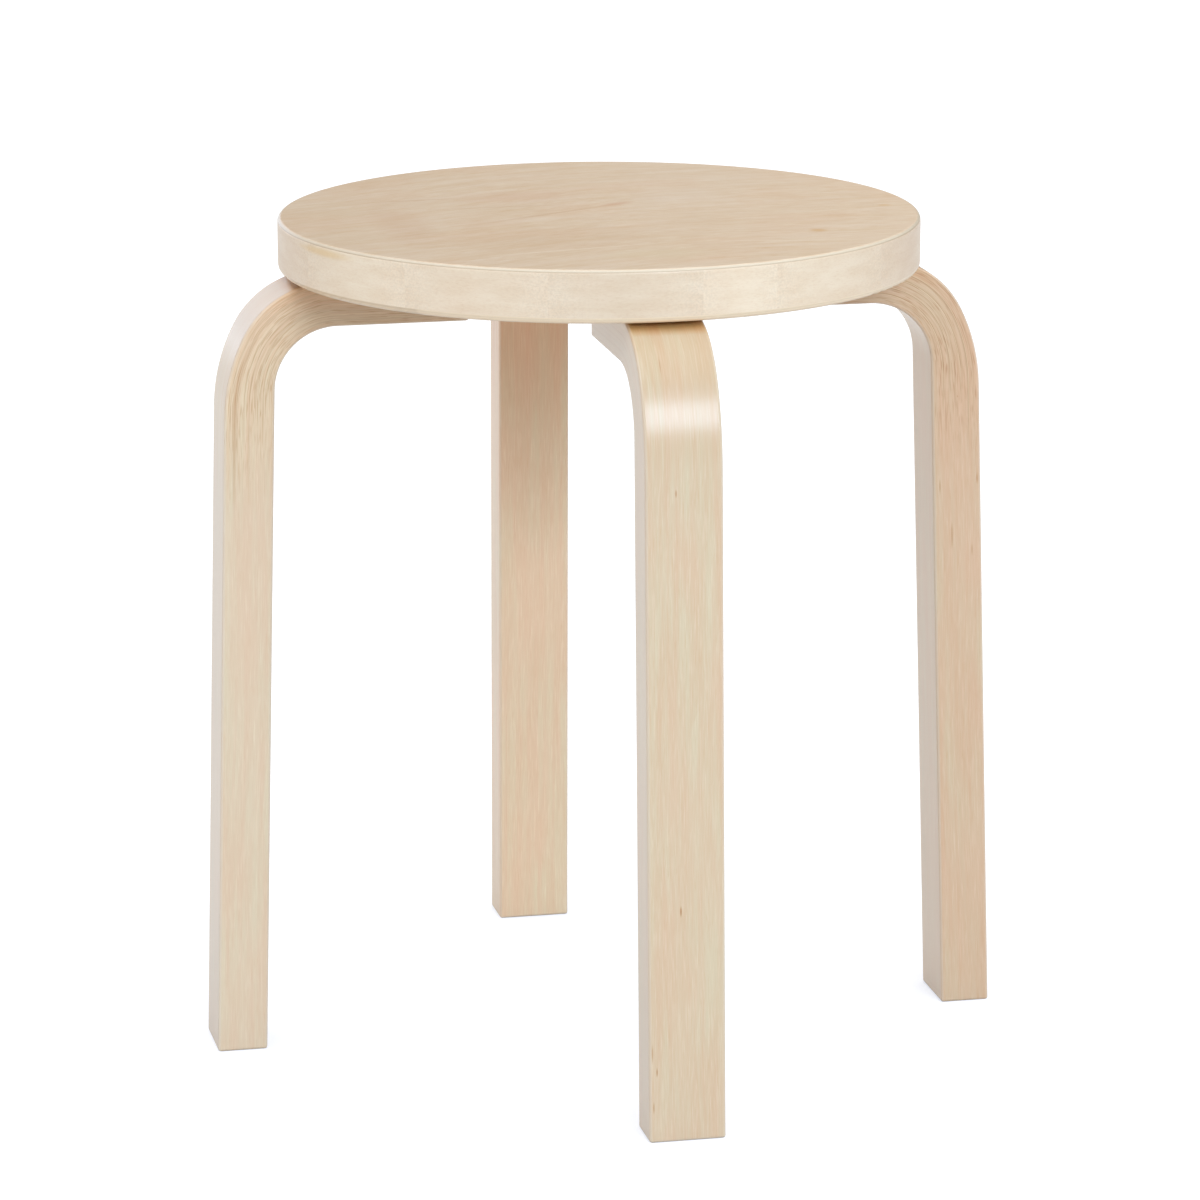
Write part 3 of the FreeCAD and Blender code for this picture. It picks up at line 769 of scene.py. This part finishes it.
def finish_board(bm, blank, label, lighter=0.0):
    """Give a board its grain and its tone, with its painted sheen, highlight and shade, then bend it and turn
    it to its leg.
    """
    grain, tone = (bm.verts.layers.float_vector.new(name) for name in ("grain", "tone"))
    strain, painted_bend_shade, painted_seat_shade = (bm.verts.layers.float.new(name)
                                 for name in ("strain", "painted_bend_shade", "painted_seat_shade"))
    turn = Matrix.Rotation(math.radians(LEG_ANGLES[label]), 3, "Z")
    board = BOARDS[label]
    for vert in bm.verts:
        vert[grain] = vert.co + board_shift(label)
        bent = np.interp(vert.co.x, blank.ends[2:4], (1.0, 0.0))
        # painted sheen on the face that turns to the left
        on_sheen_face = abs(vert.co[board.axis] - board.place * MM) < TINY
        depth = min(vert.co.y, blank.legs.thickness - vert.co.y)
        # painted highlight on the rounded edges
        on_rounding = TINY < depth < blank.legs.rounding - TINY
        vert[tone] = (Vector(board.tone) + Vector(board.bend_tone) * bent + Vector(board.face_tone) * on_sheen_face
                      + Vector(ROUNDING_HIGHLIGHT_TONE) * on_rounding + Vector((lighter, 0, 0)))
        # the sides show the strain, but not the smooth faces outside and inside the bend
        vert[strain] = bent * board.strain if 0.0 < vert.co.y < blank.legs.thickness else 0.0
        outside = vert.co.y < TINY
        # painted shade on the outside of the arm and the bend, full down to the upper arc's end and gone at
        # the bend's end
        vert[painted_bend_shade] = outside * np.interp(vert.co.x, blank.ends[1:3], (1.0, 0.0))
        vert.co = turn @ blank.bent(vert.co)
        # painted warm shade under the seat, fading down from the arm's top
        fade, most = SEAT_SHADE_OUTSIDE if outside else SEAT_SHADE_SIDES
        vert[painted_seat_shade] = np.interp(blank.legs.arm_level - vert.co.z, fade, (most, 0.0))


# Brown flecks and streaks that show on the legs, and two broad patches of painted shade under the seat, on
# the back leg and on the left leg's bend: height on the unbent leg, depth from the outside, place across the
# leg, half length and half width in millimetres, and how plainly it shows.
LEG_MARKS_AND_SHADE = {
    "front_leg": ((347, 0, -4.4, 3, 0.7, 0.6), (398, 0, -8.7, 5, 0.5, 0.4), (123, 0, -3.1, 3.5, 0.6, 0.9),
                  (38, 0, -16.2, 3, 0.5, 0.8), (48, 0, -18.6, 6, 0.5, 0.5), (19, 0, -18, 4, 0.5, 0.6)),
    "right_leg": ((361, 10, -20.2, 6, 0.6, 0.6), (340, 20.7, -20.2, 9, 0.5, 0.7),
                  (345, 13, -20.2, 0.9, 0.8, 0.8), (295, 23.2, -20.2, 5, 0.6, 0.5),
                  (268, 16.8, -20.2, 9, 0.5, 0.6), (299, 2.2, -20.2, 4, 0.6, 0.6),
                  (259, 5.6, -20.2, 4, 0.6, 0.4)),
    "left_leg": ((350, 19.6, 20.2, 2.5, 0.5, 0.7), (345, 13.8, 20.2, 3, 0.6, 0.6),
                 (350, 5.5, 20.2, 60, 1.6, 0.35), (455, 12, 20.2, 60, 16, 0.14)),
    # painted shade on the back leg, in the seat's shadow
    "back_leg": ((283, 27, 0, 75, 30, 0.15),),
}
MARK_BROWN = "#A9743F"

# Each leg is a board of its own. A tone is lighter or darker, pinker and greyer.
Board = namedtuple("Board", (
    "tone",  # of the whole board
    "bend_tone",  # what the wood of its arm and its bend adds to that, and on the back leg a painted warm shade under the seat
    "glue", "strain",  # how plainly its glue lines and its strain lines show
    # one face may take the pale grey painted sheen of a face turned to the left: its axis in the blank, its
    # place in millimetres and what it adds
    "axis", "place", "face_tone",
), defaults=(1, math.inf, (0, 0, 0)))
BOARDS = {
    "right_leg": Board((-0.03, 0.37, 0.03), (0.0, 0.08, -0.03), 1.0, 1.0, 1, 27, (0.36, -0.22, 0.46)),
    # the back leg's pinker arm and bend, fading out at 300 mm, are painted warm shade under the seat
    "back_leg": Board((0.31, 0.11, 0.0), (0, 0.48, 0), 0.4, 0.6),
    "left_leg": Board((0.1, 0.0, 0.16), (0.06, 0.03, -0.16), 0.5, 0.8, 1, 0, (-0.03, 0, 0.3)),
    "front_leg": Board((0, 0, 0), (-0.02, 0, 0), 0.2, 0.1, 2, -20.25, (0.16, 0, 0.5)),
}

# painted highlight: the rounded edges of the outside and inside faces are paler and greyer
ROUNDING_HIGHLIGHT_TONE = (0.03, 0, 0.4)

# the glue lines' mean strength, and how far before the kerf's end they begin to fade
GLUE_STRENGTH = 0.35
GLUE_FADE = 25 * MM


def glue_strengths(label, number):
    """How plainly a kerf veneer's two glue lines show, which differs from one to the next."""
    # the steps of the sine only have to look uneven
    swings = [math.sin(4.1 * number + 2.7 * LEG_NUMBERS[label] + 1.9 * side) for side in (0, 1)]
    return [GLUE_STRENGTH * (1 + swing) * BOARDS[label].glue for swing in swings]


def veneer_lightness(label, number):
    """How much lighter or darker than its leg a kerf veneer is: unevenly, and by up to a fiftieth."""
    return math.sin(2.3 * number + 5.0 * LEG_ANGLES[label]) / 50


class STOOL_OT_add_legs(bpy.types.Operator):
    """Build the four bent legs with their saw kerfs and countersinks"""
    bl_idname = "stool.add_legs"
    bl_label = "Legs"

    def execute(self, context):
        legs = context.scene.stool_legs
        blank = Blank(legs)
        marks_and_shade = [(Vector((blank.along_at(up * MM), depth * MM, across * MM)) + board_shift(leg),
                  Vector((long, wide, wide)) * MM, 0.0, strength, MARK_BROWN)
                 for leg, rows in LEG_MARKS_AND_SHADE.items() for up, depth, across, long, wide, strength in rows]

        def marked_and_shaded_board(tree, base, place):
            return marked(tree, toned(tree, base), place, marks_and_shade)

        material = birch_material("Lacquered solid birch", LEG_BIRCH, finish=marked_and_shaded_board)
        end = legs.arm_end + legs.screw_end_margin
        pair = end + legs.screw_row_spacing
        screws = ((end, 0.0), (pair, legs.screw_spread / 2), (pair, -legs.screw_spread / 2))

        def is_wood(centre):
            row = int(np.searchsorted(blank.depths, centre.y))
            return row % 2 == 1 or centre.x > blank.kerf_station(row // 2)

        for label in LEG_ANGLES:
            bm = sawn_board(blank.depths, blank.stations(), legs.width, is_wood)
            round_edges(bm, legs, blank.ends[-1])
            for place in screws:
                sink_pit(bm, blank, *place)
            finish_board(bm, blank, label)
            new_piece(bm, f"lacquered_{label}", label, material)
        return {"FINISHED"}


class STOOL_OT_add_kerf_veneers(bpy.types.Operator):
    """Build the veneers that are glued into the saw kerfs of each leg"""
    bl_idname = "stool.add_kerf_veneers"
    bl_label = "Kerf Veneers"

    def execute(self, context):
        legs = context.scene.stool_legs
        material = birch_material("Lacquered birch kerf veneer", LEG_BIRCH, finish=glued)
        blank = Blank(legs)
        for label in LEG_ANGLES:
            for number in range(1, legs.kerf_count + 1):
                depths = blank.depths[2 * number - 1:2 * number + 1]
                stations = [row for row in blank.stations() if row < blank.kerf_station(number) + TINY]
                bm = sawn_board(depths, stations, legs.width, lambda centre: True)
                round_edges(bm, legs, blank.ends[-1])
                glue = bm.verts.layers.float_vector.new("glue")
                outer, inner = glue_strengths(label, number)
                for vert in bm.verts:
                    faded = min(1.0, (stations[-1] - vert.co.x) / GLUE_FADE)
                    off_middle = (vert.co.y - sum(depths) / 2) / (legs.kerf_width / 2)
                    vert[glue] = (off_middle, outer * faded, inner * faded)
                finish_board(bm, blank, label, veneer_lightness(label, number))
                name = f"{label}_kerf_veneer_{number}"
                new_piece(bm, f"lacquered_{name}", name, material)
        return {"FINISHED"}


# the zinc's cloudy bloom: the size of its clouds, how it greys the steel and how dull it makes it
BLOOM_SIZE = 1.1 * MM
BLOOM_SPREAD = {"From Min": 0.35, "From Max": 0.65}
BLOOM_GREY = "#A9A69C"
ZINC_DULLNESS = {"To Min": 0.28, "To Max": 0.42}


class STOOL_OT_add_screws(bpy.types.Operator):
    """Finish the countersunk screws under the arms"""
    bl_idname = "stool.add_screws"
    bl_label = "Screws"

    def execute(self, context):
        # zinc-plated steel: a pale grey metal with a fine cloudy bloom
        material, tree, shader = new_material("Zinc-plated steel")
        place = add_node(tree, "TexCoord", {})["Object"]
        bloom = add_node(tree, "TexNoise", {"Vector": place, "Scale": 1 / BLOOM_SIZE, "Detail": 3.0})["Fac"]
        cloud = add_node(tree, "MapRange", {"Value": bloom, **BLOOM_SPREAD})[0]
        base = add_node(tree, "Mix", {
            0: cloud, 6: context.scene.stool_colours.steel, 7: linear(BLOOM_GREY)}, data_type="RGBA")[2]
        dull = add_node(tree, "MapRange", {"Value": bloom, **NOISE_SPREAD, **ZINC_DULLNESS})[0]
        set_inputs(tree, shader, {"Base Color": base, "Roughness": dull, "Metallic": 1.0})
        for label in LEG_ANGLES:
            finish_node(f"{label}_screws", material)
        return {"FINISHED"}


# The stage

# the camera's place, its turn as heading, tilt and roll in degrees, its sensor's width in millimetres and how
# far it sees
CAMERA_PLACE = (-0.60803, -2.87959, 0.95639)
CAMERA_TURN = (-11.923, 76.255, -0.166)
SENSOR_WIDTH, CAMERA_SIGHT = 36.0, 200.0

# the lights: name, place, point lit, width and height, power, colour and whether the lacquer mirrors them
LIGHTS = (
    ("Front softbox", (1.9, -8.0, 4.1), (0.0, 0.0, 0.3), (2.5, 2.4), 170.0, "#D0E7FF", True),
    ("Front fill", (1.3, -8.25, 3.9), (0.0, 0.0, 0.3), (4.4, 3.0), 357.0, "#D5E9FD", False),
    ("Front right fill", (5.6, -5.2, 4.7), (0.0, 0.0, 0.3), (4.0, 3.0), 150.0, "#D4EAFF", False),
    ("Left fill", (-4.3, -1.0, 1.5), (0.0, 0.0, 0.3), (3.5, 3.0), 54.0, "#DCE9FF", False),
    ("Back left panel", (-1.9, 5.9, 1.3), (0.0, 0.0, 0.4), (4.2, 2.5), 35.0, "#DDEBFF", True),
)

# an even light from above, so broad that it casts no edge and leaves no highlight: power, breadth and colour
OVERHEAD_POWER, OVERHEAD_BREADTH, OVERHEAD_TINT = 3.1, math.radians(100), "#F8FBFF"

# the daylight from all round, colour and strength
DAYLIGHT_TINT, DAYLIGHT_STRENGTH = "#FFE8CC", 0.25

# the floor is matt, with mottles a third of a metre wide, and glows: it looks whiter, and the lacquer mirrors
# it whiter, than the soft light that it throws back
MATT = {"Roughness": 0.9, "Specular IOR Level": 0.1}
MOTTLE_SCALE, MOTTLE_GREY = 3.0, "#B3AEA6"
GLOW_TINT, SEEN_GLOW, MIRRORED_GLOW = "#EAF2FF", 0.7, 0.3


class STOOL_OT_add_stage(bpy.types.Operator):
    """Set up the floor, the soft studio light and the camera"""
    bl_idname = "stool.add_stage"
    bl_label = "Stage"

    def execute(self, context):
        scene, sizes = context.scene, context.scene.stool_stage
        link = scene.collection.objects.link
        scene.view_settings.view_transform = "Standard"

        bm = bmesh.new()
        bmesh.ops.create_circle(bm, cap_ends=True, radius=sizes.floor_radius, segments=FLOOR_STEPS)
        # matt white board: even and pale, with the faintest mottle
        material, tree, shader = new_material("Matt white board")
        place = add_node(tree, "TexCoord", {})["Object"]
        mottle = add_node(tree, "TexNoise", {"Vector": place, "Scale": MOTTLE_SCALE})["Fac"]
        share = add_node(tree, "MapRange", {"Value": mottle, **NOISE_SPREAD})[0]
        base = add_node(tree, "Mix", {
            0: share, 6: scene.stool_colours.floor, 7: linear(MOTTLE_GREY)}, data_type="RGBA")[2]
        path = add_node(tree, "LightPath", {})
        mirrored = add_node(tree, "MapRange", {
            "Value": path["Is Diffuse Ray"], "To Min": MIRRORED_GLOW, "To Max": 0.0})[0]
        glow = add_node(tree, "MapRange", {
            "Value": path["Is Camera Ray"], "To Min": mirrored, "To Max": SEEN_GLOW})[0]
        set_inputs(tree, shader, {
            "Base Color": base, "Emission Color": linear(GLOW_TINT), "Emission Strength": glow, **MATT})
        new_object(bm, "studio_floor", material)

        for name, place, target, (width, height), power, tint, mirrored in LIGHTS:
            light = bpy.data.lights.new(name, "AREA")
            light.shape, light.size, light.size_y, light.energy = "RECTANGLE", width, height, power
            light.color = linear(tint)[:3]
            lamp = bpy.data.objects.new(name, light)
            lamp.visible_camera, lamp.visible_glossy = False, mirrored
            lamp.location = place
            lamp.rotation_euler = (Vector(target) - Vector(place)).to_track_quat("-Z", "Y").to_euler()
            link(lamp)
        overhead = bpy.data.lights.new("Overhead light", "SUN")
        overhead.energy, overhead.angle = OVERHEAD_POWER, OVERHEAD_BREADTH
        overhead.color = linear(OVERHEAD_TINT)[:3]
        lamp = bpy.data.objects.new("Overhead light", overhead)
        lamp.visible_glossy = False
        link(lamp)
        world = bpy.data.worlds.new("Soft daylight")
        world.use_nodes = True
        set_inputs(world.node_tree, world.node_tree.nodes["Background"], {
            "Color": linear(DAYLIGHT_TINT), "Strength": DAYLIGHT_STRENGTH})
        scene.world = world

        heading, tilt, roll = (math.radians(turn) for turn in CAMERA_TURN)
        camera = bpy.data.objects.new("Camera", bpy.data.cameras.new("Camera"))
        camera.data.lens, camera.data.sensor_width = sizes.lens, SENSOR_WIDTH
        camera.data.clip_end = CAMERA_SIGHT
        camera.matrix_world = (Matrix.Translation(CAMERA_PLACE) @ Matrix.Rotation(heading, 4, "Z")
                               @ Matrix.Rotation(tilt, 4, "X") @ Matrix.Rotation(roll, 4, "Z"))
        link(camera)
        scene.camera = camera
        return {"FINISHED"}


GROUPS = {"stool_seat": SeatSizes, "stool_legs": LegSizes, "stool_colours": WoodColours,
          "stool_stage": StageSizes}
OPERATORS = (STOOL_OT_add_stage, STOOL_OT_add_seat_veneers, STOOL_OT_add_seat_core, STOOL_OT_add_edge_band,
             STOOL_OT_add_legs, STOOL_OT_add_kerf_veneers, STOOL_OT_add_screws)


class STOOL_PT_sidebar(bpy.types.Panel):
    """The stool's pieces, sizes and colours"""
    bl_label = "Stacking Stool"
    bl_idname = "STOOL_PT_sidebar"
    bl_space_type = "VIEW_3D"
    bl_region_type = "UI"
    bl_category = "Stool"

    def draw(self, context):
        for operator in OPERATORS:
            self.layout.operator(operator.bl_idname)
        for name, group in GROUPS.items():
            box = self.layout.box()
            box.label(text=group.__doc__)
            for prop in group.__annotations__:
                box.prop(getattr(context.scene, name), prop)


def register():
    for group in (*GROUPS.values(), *OPERATORS, STOOL_PT_sidebar):
        bpy.utils.register_class(group)
    for name, group in GROUPS.items():
        setattr(bpy.types.Scene, name, PointerProperty(type=group))


def unregister():
    for name in GROUPS:
        delattr(bpy.types.Scene, name)
    for group in (STOOL_PT_sidebar, *OPERATORS, *GROUPS.values()):
        bpy.utils.unregister_class(group)


def main():
    """Build every piece and the stage."""
    register()
    for operator in OPERATORS:
        family, name = operator.bl_idname.split(".")
        getattr(getattr(bpy.ops, family), name)()


if __name__ == "__main__":
    main()
